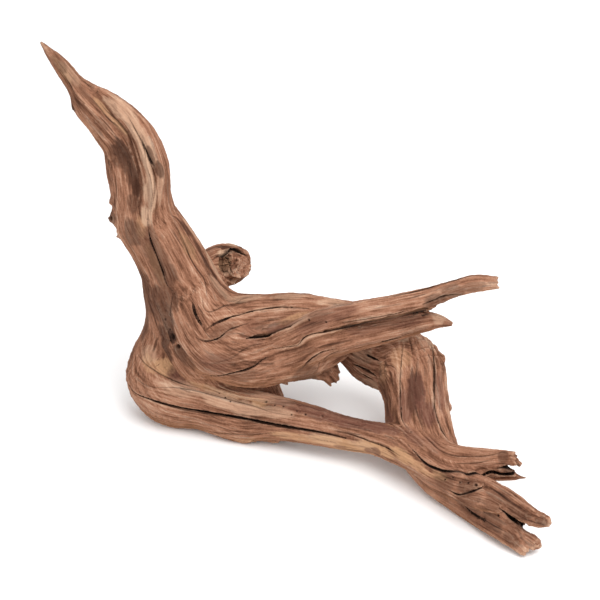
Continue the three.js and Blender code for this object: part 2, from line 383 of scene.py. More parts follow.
# A place on the wood is given as a limb, a station and a turn. Station 0 is the limb's first listed ring,
# 1 the next, and 1.5 is halfway between rings 1 and 2. The turn is in degrees round the limb, from the
# side that looks along FACING towards the left of somebody who walks along the limb on that side.

# Small holes and rot pits: limb, station, turn, radius, depth.
PITS = [
    ("back_stub", 3, 0, 8, 5), ("belly", 0.5, -85, 2.4, 6), ("belly", 0.7, -80, 1.8, 5),
    ("front_root", 4.4, 35, 0.35, 2.5), ("front_root", 4.6, 30, 0.45, 2.5),
    ("front_root", 4.8, 25, 0.35, 2.5), ("front_root", 6.3, 40, 0.35, 2.5),
    ("front_root", 6.6, 40, 0.45, 2.5), ("front_root", 7, 35, 0.35, 2.5),
    ("front_root", 7.2, 30, 0.45, 2.5), ("front_root", 6.9, 20, 0.3, 2),
    ("front_root", 7.5, 40, 0.4, 2.5), ("upper_plank", 1.8, 30, 0.5, 2), ("upper_plank", 2.3, 0, 0.4, 2),
    ("arched_root", 6.3, -20, 0.4, 2), ("arched_root", 6.1, -35, 0.35, 2),
    ("grafted_root", 2.2, 0, 0.5, 2), ("grafted_root", 2.4, 30, 0.5, 2), ("grafted_root", 2.7, 10, 0.5, 3),
    ("grafted_root", 3, 20, 0.6, 3), ("grafted_root", 3.5, 20, 1, 3), ("log_lower", 1, 30, 0.5, 2),
    ("log_lower", 1.5, 40, 0.6, 2), ("trunk", 1.4, 28, 0.6, 2), ("trunk", 1.7, 35, 0.6, 2),
    ("trunk", 0.6, 50, 0.8, 2.5), ("trunk", 0.4, 45, 0.6, 2),
]

# Knots that the fibres flow round: limb, station, turn, radius.
KNOTS = [
    ("front_root", 6, 45, 1.6), ("trunk", 9.4, -80, 2.2), ("bark_nub", 1.6, 0, 3.5),
]

# Patches of old bark and torn fibre: limb, station, turn, radius, how rough.
ROUGH = [
    ("trunk", 2, 30, 12, 1), ("trunk", 1, 50, 13, 1), ("trunk", 0.5, 45, 10, 1), ("bark_nub", 1.5, 0, 9, 1),
    ("trunk", 4.5, 35, 11, 0.6), ("trunk", 3, 50, 12, 0.6), ("trunk", 8, 25, 12, 0.9),
    ("trunk", 7.7, 50, 6, 1), ("trunk", 9.5, 30, 9, 0.6), ("front_root", 3, 60, 10, 0.8),
    ("front_root", 7, 45, 14, 0.6), ("front_root", 7.6, 45, 14, 0.9), ("front_root", 8.3, 45, 14, 0.9),
    ("front_root", 9, 45, 12, 0.8), ("front_root", 12.5, 0, 9, 0.9), ("front_root", 5.5, -70, 13, 0.8),
    ("back_stub", 2.8, 0, 17, 0.45), ("grafted_root", 3, 10, 10, 1), ("log_upper", 2.5, 0, 11, 1),
    ("log_lower", 2.5, 0, 11, 1), ("arched_root", 5.3, 0, 13, 0.7), ("torn_flap", 1.5, 0, 13, 0.8),
    ("upper_plank", 5.4, -20, 10, 0.7), ("splinter", 1, 0, 8, 0.9), ("upper_plank", 7.7, 0, 8, 0.5),
]

# Patches of another colour, and among the dark ones a few patches of painted shade: limb, station, turn,
# half-size across the grain and along it, strength.
STAIN_AND_SHADE_PATCHES = {
    "dark": [
        ("trunk", 8, 25, 9, 12, 0.9), ("trunk", 8, 42, 6, 10, 0.6), ("trunk", 7.6, 18, 7, 10, 0.8),
        ("trunk", 7, 8, 6, 12, 0.85), ("trunk", 6.6, 4, 5, 8, 0.95), ("trunk", 6.2, 12, 5, 10, 0.6),
        ("trunk", 7.6, -32, 2.5, 9, 0.7), ("trunk", 7.1, -40, 4, 7, 0.75),
        ("trunk", 6.6, -65, 2, 16, 0.45),
        ("trunk", 9.3, 35, 5, 8, 0.4), ("trunk", 10.4, 40, 2.5, 12, 0.4), ("trunk", 12, 0, 4, 8, 0.5),
        ("tip_nub", 1.5, 0, 4, 4, 0.9), ("trunk", 5.1, 30, 8, 12, 0.6), ("trunk", 4.6, 14, 7, 12, 0.55),
        ("trunk", 3.9, 18, 8, 14, 0.6), ("trunk", 3.2, 18, 8, 14, 0.65), ("trunk", 2.8, 70, 8, 18, 0.5),
        ("trunk", 2.3, 40, 9, 12, 0.65), ("trunk", 2.3, 15, 6, 12, 0.65), ("trunk", 2, 58, 9, 14, 0.6),
        ("trunk", 1.8, 32, 9, 14, 0.75), ("trunk", 0.9, 55, 9, 16, 0.75), ("trunk", 0.5, 48, 8, 9, 0.85),
        ("trunk", 0.5, 25, 7, 9, 0.7), ("trunk", 0.25, 15, 7, 8, 0.5), ("bark_nub", 1.5, 0, 6, 8, 0.55),
        ("left_flank", 2, -60, 6, 14, 0.5), ("left_flank", 3.1, -70, 6, 14, 0.45),
        ("trunk", 4.05, -60, 2.5, 10, 0.75), ("trunk", 3.35, -60, 2.5, 10, 0.7),
        ("trunk", 2.9, -60, 3, 12, 0.8), ("trunk", 2.4, -64, 2.5, 9, 0.7), ("belly", 0.5, -85, 5, 6, 1),
        ("belly", 1, 15, 6, 12, 0.4), ("belly", 2, -40, 6, 12, 0.4), ("belly", 1.4, -20, 5, 12, 0.3),
        ("torn_flap", 0.8, 0, 10, 9, 0.5), ("torn_flap", 1, -30, 8, 8, 0.4),
        ("torn_flap", 2, -20, 6, 6, 0.4),
        ("upper_plank", 1.9, 20, 6, 12, 0.35), ("upper_plank", 5.4, -30, 5, 9, 0.6),
        ("upper_plank", 6.2, -30, 5, 8, 0.5), ("upper_plank", 6.9, -20, 4, 8, 0.4),
        ("arched_root", 5.1, 0, 6, 15, 0.5), ("arched_root", 5.6, -10, 4, 12, 0.5),
        # painted shade: dark patches on the arched root's shaded left side
        ("arched_root", 4.7, -65, 5, 18, 0.5), ("arched_root", 5.3, -70, 5, 14, 0.5),
        ("arched_root", 2.8, 20, 4, 8, 0.4), ("arched_root", 3.1, -60, 3, 8, 0.35),
        ("grafted_root", 2.2, 0, 8, 10, 0.5), ("grafted_root", 3, 10, 7, 10, 0.55),
        ("knuckle", 1.5, 0, 6, 10, 0.4), ("knuckle", 2.5, 10, 5, 8, 0.4), ("log_finger", 0.8, 20, 5, 8, 0.4),
        ("log_upper", 1, 10, 7, 12, 0.5), ("log_upper", 1.8, 0, 6, 12, 0.55), ("log_upper", 3, 0, 4, 6, 0.6),
        ("log_lower", 0.6, 0, 7, 14, 0.5), ("log_lower", 1.4, -10, 7, 12, 0.55),
        ("log_lower", 2.4, -10, 5, 8, 0.6), ("front_root", 12.8, -30, 4, 6, 0.6),
        ("front_root", 12.5, 40, 6, 4, 0.6), ("back_stub", 2.2, 60, 2.5, 10, 0.9),
        ("back_stub", 3, 60, 3, 6, 0.7), ("rear_root", 2, -20, 9, 8, 0.7),
    ],
    "purple": [
        ("arched_root", 5.3, 0, 8, 18, 0.9), ("arched_root", 5.6, -20, 6, 14, 0.7),
        ("arched_root", 5.9, 15, 7, 15, 0.8), ("arched_root", 5.2, 45, 4, 18, 0.6),
        ("arched_root", 5.7, -65, 5, 14, 0.5), ("front_root", 2.8, 75, 6, 8, 0.6),
        ("front_root", 3.1, 60, 8, 8, 0.8), ("front_root", 3.4, 50, 5, 8, 0.6),
        ("front_root", 7, 50, 6, 18, 0.6), ("front_root", 7.5, 50, 7, 20, 0.8),
        ("front_root", 8, 50, 7, 20, 0.85), ("front_root", 8.5, 50, 7, 16, 0.8),
        ("front_root", 8.9, 45, 5, 12, 0.7), ("front_root", 9.6, 40, 5, 12, 0.5),
        ("front_root", 10.3, 35, 5, 10, 0.35), ("upper_plank", 1.9, 0, 5, 16, 0.4),
        ("upper_plank", 2.6, 20, 6, 18, 0.45), ("lower_plank", 3.3, 20, 4, 20, 0.35),
        ("lower_plank", 4.3, 15, 4, 18, 0.4), ("upper_lobe", 2.6, -55, 4, 16, 0.7),
        ("belly", 1.9, 35, 11, 11, 0.3), ("belly", 1.3, -40, 9, 16, 0.4),
        ("front_root", 8.7, -45, 4, 5, 0.8),
        ("front_root", 8.5, -55, 3, 4, 0.7), ("front_root", 7.9, -60, 2, 5, 0.5),
    ],
    "ochre": [
        ("front_root", 1.8, 5, 8, 9, 0.95), ("front_root", 2.2, 25, 6, 7, 0.85),
        ("front_root", 1.9, -20, 5, 9, 0.5), ("front_root", 7.2, -45, 4, 26, 0.65),
        ("front_root", 7.9, -40, 5, 28, 0.9), ("front_root", 8.7, -35, 5, 22, 0.95),
        ("front_root", 8.2, -70, 4, 20, 0.7), ("grafted_root", 0.8, 0, 5, 16, 0.85),
        ("grafted_root", 1.3, -10, 4, 14, 0.6), ("grafted_root", 2, 10, 4, 12, 0.5),
        ("front_root", 4, 45, 3, 16, 0.5), ("front_root", 4.7, 40, 3, 14, 0.5),
        ("front_root", 5.8, 40, 4, 9, 0.6), ("front_root", 4.3, 70, 3, 16, 0.5),
        ("front_root", 5.4, -70, 4, 14, 0.5), ("arched_root", 4.2, 0, 9, 9, 0.35),
        ("arched_root", 4.1, -40, 9, 10, 0.25), ("upper_lobe", 2.9, -40, 3.5, 10, 0.7),
        ("upper_lobe", 3.2, -30, 2.5, 9, 0.5), ("back_stub", 3, 0, 6, 7, 0.6),
        ("trunk", 11.8, 10, 3, 12, 0.4), ("trunk", 9.6, -10, 2.5, 12, 0.6), ("trunk", 8.8, -5, 2.5, 12, 0.6),
        ("trunk", 5.3, 10, 4, 10, 0.4), ("trunk", 3.6, -40, 5, 18, 0.35), ("trunk", 3.7, 25, 4, 18, 0.3),
    ],
    "pale": [
        ("tongue", 1, 0, 5, 20, 0.5), ("tongue", 2, 0, 5, 20, 0.55), ("tongue", 3, 0, 6, 18, 0.6),
        ("tongue", 4.6, 0, 6, 18, 0.65), ("tongue", 6, 0, 4, 9, 0.75), ("trunk", 9, -30, 6, 14, 0.4),
        ("trunk", 11.5, -20, 4, 12, 0.3), ("trunk", 6.6, -40, 5, 20, 0.35), ("trunk", 3.8, -78, 5, 16, 0.45),
        ("trunk", 2.6, -78, 5, 14, 0.45), ("trunk", 2, -50, 5, 12, 0.3), ("trunk", 1.7, -40, 5, 12, 0.3),
        ("back_stub", 2.8, 45, 3, 9, 0.85), ("back_stub", 2.9, -40, 3, 8, 0.6),
        ("back_stub", 2.6, -80, 4, 12, 0.5), ("back_stub", 2.4, 90, 4, 8, 0.6),
        ("upper_lobe", 1.7, 55, 5, 16, 0.4), ("upper_lobe", 2.8, 60, 5, 16, 0.35),
        ("upper_lobe", 4, 50, 4, 14, 0.4), ("front_root", 1.6, -30, 8, 8, 0.3),
        ("front_root", 3.5, 20, 8, 16, 0.35), ("front_root", 4.5, 25, 8, 16, 0.45),
        ("front_root", 5.4, 20, 8, 16, 0.45), ("front_root", 6.4, 20, 6, 16, 0.4),
        ("front_root", 6, 65, 7, 20, 0.3), ("front_root", 7.6, -35, 5, 16, 0.35),
        ("front_root", 8.4, -35, 5, 14, 0.3), ("arched_root", 3.9, 45, 5, 8, 0.5),
        ("arched_root", 4.1, 70, 4, 10, 0.5), ("arched_root", 4.7, 80, 3, 14, 0.35),
        ("arched_root", 5.9, 70, 3, 12, 0.3), ("arched_root", 2.9, 0, 7, 14, 0.3),
        ("arched_root", 3.3, -50, 5, 10, 0.35), ("lower_plank", 5.3, 20, 5, 6, 0.5),
    ],
}

VOXEL = 0.7  # spacing of the finest samples
CELL = 6  # fine samples along a coarse cell
COARSE = VOXEL * CELL
SPAN_SAMPLES = 8  # samples of a limb from one ring to the next
JOIN = 7.0  # how softly the limbs flow into one another
REACH = 12.0  # beyond this distance a limb doesn't touch the surface
THINNEST = 0.42  # a crack with a smaller half-width is only a groove
STRAY_CRACKS = 170  # places tried for the fine cracks all over the wood
STRAY_SEED = 41
STRAY_STEP = 3  # millimetres from one point of such a crack to the next


# ---------- limbs ----------

def catmull(points, count):
    """A smooth curve through the points, with count samples for each span."""
    points = np.asarray(points, float)
    padded = np.vstack([2 * points[0] - points[1], points, 2 * points[-1] - points[-2]])
    t = (np.arange(count) / count)[:, None]
    spans = []
    for i in range(len(points) - 1):
        p0, p1, p2, p3 = padded[i:i + 4]
        bend = 2 * p0 - 5 * p1 + 4 * p2 - p3
        twist = 3 * p1 - p0 - 3 * p2 + p3
        spans.append(0.5 * (2 * p1 + (p2 - p0) * t + bend * t ** 2 + twist * t ** 3))
    return np.vstack(spans + [points[-1:]])


def unit(vectors):
    return vectors / np.maximum(np.linalg.norm(vectors, axis=-1, keepdims=True), 1e-9)


def curve_frame(centres):
    """Directions along a curve, and across it, in the broad side's plane and through it."""
    along = unit(np.gradient(centres, axis=0))
    side = unit(np.cross(FACING, along))
    return along, side, np.cross(along, side)


def make_limb(name, rings):
    rings = np.asarray(rings, float)
    rings[:, :3] += MIDDLE
    fray = FRAYED.get(name, 0)
    length = np.linalg.norm(np.diff(rings[:, :3], axis=0), axis=1).sum()
    if fray:
        last = rings[-1].copy()
        last[:3] += unit(rings[-1, :3] - rings[-2, :3]) * 1.5 * fray
        rings = np.vstack([rings, last])
    samples = catmull(rings, SPAN_SAMPLES)
    samples[:, 3:] = np.maximum(samples[:, 3:], 0.6)
    along, side, face = curve_frame(samples[:, :3])
    steps = np.linalg.norm(np.diff(samples[:, :3], axis=0), axis=1)
    run = np.concatenate([[0], np.cumsum(steps)])
    table = np.hstack([samples, along, side, face, run[:, None]]).astype(np.float32)
    soft = SOFTNESS.get(name, JOIN)
    return {"name": name, "table": table, "length": length, "fray": fray, "soft": soft, "seed": len(name)}


def nearest(points, centres):
    """Index of the centre nearest to each point."""
    index = np.empty(len(points), np.int32)
    half = 0.5 * (centres ** 2).sum(1)
    for start in range(0, len(points), 100000):
        part = points[start:start + 100000]
        index[start:start + 100000] = np.argmin(half - part @ centres.T, axis=1)
    return index


def place(limb, points):
    """Each point's row of the limb's table, blended to its exact place along the limb."""
    table = limb["table"]
    index = nearest(points, np.ascontiguousarray(table[:, :3]))
    row = table[index]
    ahead = ((points - row[:, :3]) * row[:, 5:8]).sum(1)
    gap = np.gradient(table[:, 14])[index]
    t = np.clip(index + np.clip(ahead / gap, -1, 1), 0, len(table) - 1)
    low = np.minimum(t.astype(np.int32), len(table) - 2)
    mix = (t - low)[:, None]
    return table[low] * (1 - mix) + table[low + 1] * mix


def within(limb, points):
    """Each point's row of the limb's table, and its place across, through and beyond that row."""
    row = place(limb, points)
    off = points - row[:, :3]
    return row, (off * row[:, 8:11]).sum(1), (off * row[:, 11:14]).sum(1), (off * row[:, 5:8]).sum(1)


def limb_distance(limb, points):
    """Signed distance to one limb, and the direction of its fibres."""
    row, side, face, over = within(limb, points)
    a, b = row[:, 3], row[:, 4]
    cap = 0.8 * np.minimum(a, b)
    k0 = np.sqrt((side / a) ** 2 + (face / b) ** 2 + (over / cap) ** 2)
    k1 = np.sqrt((side / a ** 2) ** 2 + (face / b ** 2) ** 2 + (over / cap ** 2) ** 2)
    distance = np.where(k1 > 1e-4, k0 * (k0 - 1) / np.maximum(k1, 1e-4), -np.minimum(a, b))
    if limb["fray"]:
        seed = limb["seed"]
        thread = np.stack([side / 2.2, face / 2.2, np.full_like(side, seed)], 1)
        clump = np.stack([side / 7.0, face / 7.0, np.full_like(side, seed + 9.5)], 1)
        uneven = 0.55 * value_noise(thread, seed) + 0.9 * value_noise(clump, seed + 1) - 0.6
        past = row[:, 14] + over - limb["length"] - limb["fray"] * uneven
        distance = np.maximum(distance, past * 0.6)
    return distance, row[:, 5:8]


def in_reach(limb, points, margin):
    """Which points lie in the limb's box, widened by a margin."""
    middle, size = limb["table"][:, :3], limb["table"][:, 3].max() + margin
    return np.nonzero(((points > middle.min(0) - size) & (points < middle.max(0) + size)).all(1))[0]


# ---------- noise ----------

def hashed(i, j, k, seed):
    """A repeatable number from 0 to 1 for each whole-number place."""
    h = (i * 73856093) ^ (j * 19349663) ^ (k * 83492791) ^ (seed * 2654435)
    h = (h ^ (h >> 13)) * 1274126177
    h = h ^ (h >> 16)
    return (h & 0xFFFFFF).astype(np.float32) / float(0xFFFFFF)


def value_noise(points, seed):
    """Smooth noise from 0 to 1 on a unit lattice."""
    low = np.floor(points)
    t = (points - low).astype(np.float32)
    t = t * t * (3 - 2 * t)
    i, j, k = low.astype(np.int64).T
    total = 0
    for di in (0, 1):
        wi = t[:, 0] if di else 1 - t[:, 0]
        for dj in (0, 1):
            wj = wi * (t[:, 1] if dj else 1 - t[:, 1])
            for dk in (0, 1):
                wk = wj * (t[:, 2] if dk else 1 - t[:, 2])
                total = total + wk * hashed(i + di, j + dj, k + dk, seed)
    return total


def ramp(x, low, high):
    t = np.clip((x - low) / (high - low), 0, 1)
    return t * t * (3 - 2 * t)


# ---------- the field ----------

def soft_min(a, b, k):
    h = np.maximum(k - np.abs(a - b), 0) / k
    return np.minimum(a, b) - h * h * k / 4


def soft_max(a, b, k):
    return -soft_min(-a, -b, k)


limbs = [make_limb(name, rings) for name, rings in LIMBS.items()]
LIMB_TABLES = {limb["name"]: limb["table"] for limb in limbs}
everything = np.vstack([limb["table"][:, :3] for limb in limbs])
ORIGIN = np.floor((everything.min(0) - 40) / COARSE) * COARSE
SHAPE = np.ceil((everything.max(0) + 40 - ORIGIN) / COARSE).astype(int)


def coarse_centres():
    axes = [ORIGIN[a] + (np.arange(SHAPE[a]) + 0.5) * COARSE for a in range(3)]
    return np.stack(np.meshgrid(*axes, indexing="ij"), -1).reshape(-1, 3).astype(np.float32)


def survey(points):
    """The wood's distance and fibre direction on the coarse grid, and each limb's own distance."""
    total = np.full(len(points), 99.0, np.float32)
    flow = np.zeros((len(points), 3), np.float32)
    each = []
    for limb in limbs:
        own = np.full(len(points), 99.0, np.float32)
        near = in_reach(limb, points, 20)
        distance, along = limb_distance(limb, points[near])
        own[near] = distance
        sign = -1 if limb["name"] in GRAIN_BACKWARDS else 1
        weight = np.exp(-np.maximum(distance + 6, 0) / 5.0)[:, None]
        flow[near] += sign * along * weight
        total = soft_min(total, own, limb["soft"])
        each.append(own)
    return total, unit(flow), each


class FlowGrid:
    """The fibre direction anywhere, read smoothly from the coarse grid."""

    def __init__(self, flow):
        self.flow = flow.reshape(*SHAPE, 3)

    def at(self, points):
        place_ = (points - ORIGIN) / COARSE - 0.5
        place_ = np.clip(place_, 0, SHAPE - 1.001)
        low = place_.astype(np.int32)
        t = (place_ - low).astype(np.float32)
        total = 0
        for di in (0, 1):
            wi = t[:, 0] if di else 1 - t[:, 0]
            for dj in (0, 1):
                wj = wi * (t[:, 1] if dj else 1 - t[:, 1])
                for dk in (0, 1):
                    wk = wj * (t[:, 2] if dk else 1 - t[:, 2])
                    corner = self.flow[low[:, 0] + di, low[:, 1] + dj, low[:, 2] + dk]
                    total = total + corner * wk[:, None]
        return unit(total)


def follow_cracks(centres, flow, cracks):
    """Turns the fibres near a crack along it."""
    turned = flow.copy()
    for crack in cracks:
        line = np.ascontiguousarray(crack[:, :3])
        near, far, t = line_shape(line, centres, 16)
        along = crack[np.round(t * (len(crack) - 1)).astype(int), 3:6]
        along = along * np.where((along * flow[near]).sum(1) < 0, -1, 1)[:, None]
        turned[near] += along * (3 * np.exp(-(far / 6) ** 2))[:, None]
    for limb, station, turn, radius in KNOTS:
        off = centres - spot(limb, station, turn)
        far = np.linalg.norm(off, axis=1, keepdims=True)
        out = off / np.maximum(far, 1e-6)
        push = np.exp(-(far / (1.6 * radius + COARSE)) ** 2)
        turned -= out * ((unit(turned) * out).sum(1, keepdims=True) * push) * np.linalg.norm(
            turned, axis=1, keepdims=True)
    return unit(turned)


def random_cracks(centres, coarse, flow):
    """Fine cracks along the fibres all over the wood, most of them on its back and sides."""
    chance = np.random.default_rng(STRAY_SEED)
    starts = np.nonzero(np.abs(coarse) < 1.5)[0]
    cracks = []
    for start in chance.choice(starts, STRAY_CRACKS, replace=False):
        half_length = chance.uniform(6, 30)
        half_width = chance.uniform(0.15, 0.7)
        line = [centres[start]]
        for direction in (-1, 1):
            at = centres[start:start + 1]
            for _ in range(int(half_length / STRAY_STEP)):
                at = at + direction * STRAY_STEP * flow.at(at)
                line.insert(0 if direction < 0 else len(line), at[0])
        line, normal = settle(np.array(line, np.float32), 2)
        steps = np.linalg.norm(np.diff(line, axis=0), axis=1)
        facing = (normal @ FACING).mean()
        if steps.max() > 6 or line[:, 2].min() < 2 or facing > chance.uniform(-0.2, 0.9):
            continue
        cracks.append(make_crack(half_width, 4.5 * half_width, "closed", line - MIDDLE))
    return cracks


def ground_cut(distance, points):
    """Wears the feet flat on the ground."""
    return soft_max(distance, -points[:, 2], 1.0)


def wood_distance(points):
    total = np.full(len(points), 99.0, np.float32)
    for limb in limbs:
        near = in_reach(limb, points, REACH)
        if len(near):
            distance, _ = limb_distance(limb, points[near])
            total[near] = soft_min(total[near], distance, limb["soft"])
    return ground_cut(total, points)


def outward(points):
    """The surface's outward direction at points near it."""
    step = 0.7
    slopes = []
    for axis in range(3):
        move = np.zeros(3, np.float32)
        move[axis] = step
        slopes.append(wood_distance(points + move) - wood_distance(points - move))
    return unit(np.stack(slopes, 1))


def settle(points, rounds=3):
    """Moves points onto the surface, and gives the outward direction there."""
    for _ in range(rounds):
        normal = outward(points)
        points = points - normal * wood_distance(points)[:, None]
    return points, normal


def spot(name, station, turn):
    """The point on the wood at a listed place: a limb, a station and a turn."""
    table = LIMB_TABLES[name]
    step = min(station * SPAN_SAMPLES, len(table) - 1.001)
    low = int(step)
    row = table[low] * (1 - step + low) + table[low + 1] * (step - low)
    angle = math.radians(turn)
    out = row[3] * math.sin(angle) * row[8:11] + row[4] * math.cos(angle) * row[11:14]
    return settle((row[:3] + out)[None].astype(np.float32))[0][0]


def resample(points, spacing=1.0):
    steps = np.linalg.norm(np.diff(points, axis=0), axis=1)
    run = np.concatenate([[0], np.cumsum(steps)])
    count = max(int(run[-1] / spacing), 4)
    t = np.linspace(0, run[-1], count)
    return np.stack([np.interp(t, run, points[:, a]) for a in range(3)], 1)


def crack_taper(ending, count):
    """How a crack's width and depth change along it: narrow at both ends, or open at the last."""
    t = np.linspace(0, 1, count)
    if ending == "closed":
        return np.sin(np.pi * np.clip(t, 0.02, 0.98)) ** 0.5
    return np.clip(t * 1.15, 0.05, 1) ** 0.7


def smooth_line(values, rounds=4):
    """Evens out a list of points or directions along it, and keeps its ends."""
    for _ in range(rounds):
        middle = (values[:-2] + 2 * values[1:-1] + values[2:]) / 4
        values = np.vstack([values[:1], middle, values[-1:]])
    return values


def make_crack(half_width, depth, ending, points):
    """A crack's samples: place, direction, outward, across, half-width and depth.

    A "closed" crack narrows at both ends, an "open" one runs out at its last point, and a "gape" is
    an open one cut straight in from the front.
    """
    line = resample(catmull(points, 8) + MIDDLE).astype(np.float32)
    line, normal = settle(line)
    line, normal = smooth_line(line), unit(smooth_line(normal, 10))
    if ending == "gape":
        normal = np.tile(FACING, (len(line), 1))
    along = unit(smooth_line(np.gradient(line, axis=0)))
    across = unit(np.cross(along, normal))
    taper = crack_taper(ending, len(line))
    wander = value_noise(line / 9, 77)
    width = half_width * (0.65 + 0.7 * wander) * taper
    table = np.hstack([line, along, normal, across, width[:, None], (depth * taper)[:, None]])
    return table.astype(np.float32)


def crack_distance(crack, points):
    """Distance to the wedge of air inside a crack, below 0 inside it."""
    row = crack[nearest(points, np.ascontiguousarray(crack[:, :3]))]
    off = points - row[:, :3]
    depth = -(off * row[:, 6:9]).sum(1)
    jitter = value_noise(points / 4.0, 31) - 0.5
    side = np.abs((off * row[:, 9:12]).sum(1) + 0.6 * jitter)
    beyond = np.maximum(np.abs((off * row[:, 3:6]).sum(1)) - 0.8, 0)
    full = np.maximum(row[:, 13], 0.3)
    share = np.clip(depth / full, -0.6, 1)
    width = row[:, 12] * (1 - np.sign(share) * np.abs(share) ** 1.6)
    side = np.hypot(side, beyond)
    return np.where(depth > full, np.hypot(side, depth - full), side - width)


def fine_points(cells, centres):
    steps = (np.arange(CELL) + 0.5) * VOXEL - COARSE / 2
    local = np.stack(np.meshgrid(steps, steps, steps, indexing="ij"), -1).reshape(1, -1, 3)
    return (centres[cells][:, None] + local).astype(np.float32)


def sample_field(centres, coarse, each, cracks):
    """The field in every cell that the surface runs through, sampled finely."""
    cells = np.nonzero(np.abs(coarse) < COARSE * 0.87 + 2.6)[0]
    points = fine_points(cells, centres)
    field = np.full(points.shape[:2], 99.0, np.float32)
    for limb, own in zip(limbs, each):
        near = np.nonzero(own[cells] < REACH)[0]
        if len(near):
            distance, _ = limb_distance(limb, points[near].reshape(-1, 3))
            field[near] = soft_min(field[near], distance.reshape(len(near), -1), limb["soft"])
    field = ground_cut(field.ravel(), points.reshape(-1, 3)).reshape(field.shape)
    middle = centres[cells]
    for crack in cracks:
        if crack[:, 12].max() < THINNEST:
            continue
        gap = nearest(middle, np.ascontiguousarray(crack[:, :3]))
        far = np.linalg.norm(middle - crack[gap, :3], axis=1)
        near = np.nonzero(far < crack[:, 13].max() + crack[:, 12].max() + 4)[0]
        if len(near):
            air = crack_distance(crack, points[near].reshape(-1, 3)).reshape(len(near), -1)
            field[near] = soft_max(field[near], -air, 0.5)
    return cells, field


def mesh_of(centres, coarse, cells, field):
    """Turns the sampled field into vertices and quads."""
    dense = np.where(coarse < 0, -3.0, 3.0).astype(np.float32).reshape(SHAPE)
    for axis in range(3):
        dense = np.repeat(dense, CELL, axis)
    blocks = dense.reshape(SHAPE[0], CELL, SHAPE[1], CELL, SHAPE[2], CELL).transpose(0, 2, 4, 1, 3, 5)
    i, j, k = np.unravel_index(cells, SHAPE)
    blocks[i, j, k] = np.clip(field, -3, 3).reshape(-1, CELL, CELL, CELL)
    grid = openvdb.FloatGrid(3.0)
    grid.copyFromArray(dense)
    points, quads = grid.convertToQuads(0.0)
    return points * VOXEL + ORIGIN + VOXEL / 2, quads.astype(np.int64)


def largest_piece(points, quads):
    """Keeps the one body and drops loose crumbs."""
    label = np.arange(len(points))
    edges = np.vstack([quads[:, [0, 1]], quads[:, [1, 2]], quads[:, [2, 3]], quads[:, [3, 0]]])
    while True:
        low = np.minimum(label[edges[:, 0]], label[edges[:, 1]])
        new = label.copy()
        np.minimum.at(new, edges[:, 0], low)
        np.minimum.at(new, edges[:, 1], low)
        new = new[new]
        if (new == label).all():
            break
        label = new
    names, counts = np.unique(label, return_counts=True)
    keep = label == names[counts.argmax()]
    index = np.cumsum(keep) - 1
    quads = quads[keep[quads].all(1)]
    return points[keep], index[quads]


def vertex_normals(points, quads):
    a, b = points[quads[:, 2]] - points[quads[:, 0]], points[quads[:, 3]] - points[quads[:, 1]]
    face = np.cross(a, b)
    normal = np.zeros_like(points)
    for axis in range(3):
        for corner in range(4):
            normal[:, axis] += np.bincount(quads[:, corner], face[:, axis], len(points))
    return unit(normal)


# ---------- grain ----------

def streaks(flow, points):
    """Noise averaged along the fibres on both sides of each point: fine, middle and broad streaks."""
    sums = np.zeros((3, len(points)), np.float32)
    for direction in (1, -1):
        at = points.astype(np.float32)
        for step in range(44):
            at = at + direction * 1.3 * flow.at(at)
            if step < 22:
                sums[0] += value_noise(at / 1.25, 5)
            if step % 2 == 0:
                sums[1] += value_noise(at / 3.0, 6)
            if step % 4 == 0:
                sums[2] += value_noise(at / 8.0, 7)
    sums -= sums.mean(1, keepdims=True)
    sums /= sums.std(1, keepdims=True)
    return np.clip(sums / 2.4, -1, 1)


def line_shape(line, points, reach):
    """For points near a line: which they are, how far off it, and how far along it from 0 to 1."""
    low, high = line.min(0) - reach, line.max(0) + reach
    near = np.nonzero(((points > low) & (points < high)).all(1))[0]
    index = nearest(points[near], line)
    off = points[near] - line[index]
    return near, np.linalg.norm(off, axis=1), index / (len(line) - 1)


def fold_depth(points):
    """How deep the soft grooves and ribs move the surface."""
    depth = np.zeros(len(points), np.float32)
    for half_width, deep, knots in FOLDS.values():
        line = (resample(catmull(knots, 8)) + MIDDLE).astype(np.float32)
        near, far, t = line_shape(line, points, half_width * 3)
        taper = np.sin(np.pi * np.clip(t, 0.03, 0.97)) ** 0.6
        depth[near] += deep * taper * np.exp(-(far / half_width) ** 2)
    return depth


def pit_depth(points):
    depth = np.zeros(len(points), np.float32)
    dark = np.zeros(len(points), np.float32)
    for limb, station, turn, radius, deep in PITS:
        far = np.linalg.norm(points - spot(limb, station, turn), axis=1)
        shape = np.exp(-(far / (radius + 0.3)) ** 4)
        depth += deep * 0.6 * shape
        # painted shade in the pits, darker in the smaller ones
        dark = np.maximum(dark, shape * min(1, 2.5 / radius) * 0.9)
    return depth, dark


def crack_shade(points, cracks):
    """How much of each crack's painted shade reaches each point, in its gap and down its walls."""
    dark = np.zeros(len(points), np.float32)
    for crack in cracks:
        near, far, t = line_shape(np.ascontiguousarray(crack[:, :3]), points, crack[:, 13].max() + 3)
        row = crack[np.round(t * (len(crack) - 1)).astype(int)]
        off = points[near] - row[:, :3]
        side = (off * row[:, 9:12]).sum(1)
        beyond = np.maximum(np.abs((off * row[:, 3:6]).sum(1)) - 0.5, 0)
        depth = -(off * row[:, 6:9]).sum(1)
        reach = 0.8 * row[:, 12] + 0.2
        shade = np.exp(-(side ** 2 + beyond ** 2) / reach ** 2) * np.clip(reach / 0.6, 0, 1)
        shade *= ramp(depth, -1.6, -0.2) * ramp(row[:, 13] + 2 - depth, 0, 1)
        dark[near] = np.maximum(dark[near], shade)
    return dark


def roughness_of(points):
    """How rough the wood is: 1 in the patches of old bark and torn fibre, less elsewhere."""
    rough = np.full(len(points), 0.25, np.float32)
    for limb, station, turn, radius, amount in ROUGH:
        far = ((points - spot(limb, station, turn)) ** 2).sum(1)
        rough = np.maximum(rough, amount * np.exp(-far / radius ** 2))
    return rough


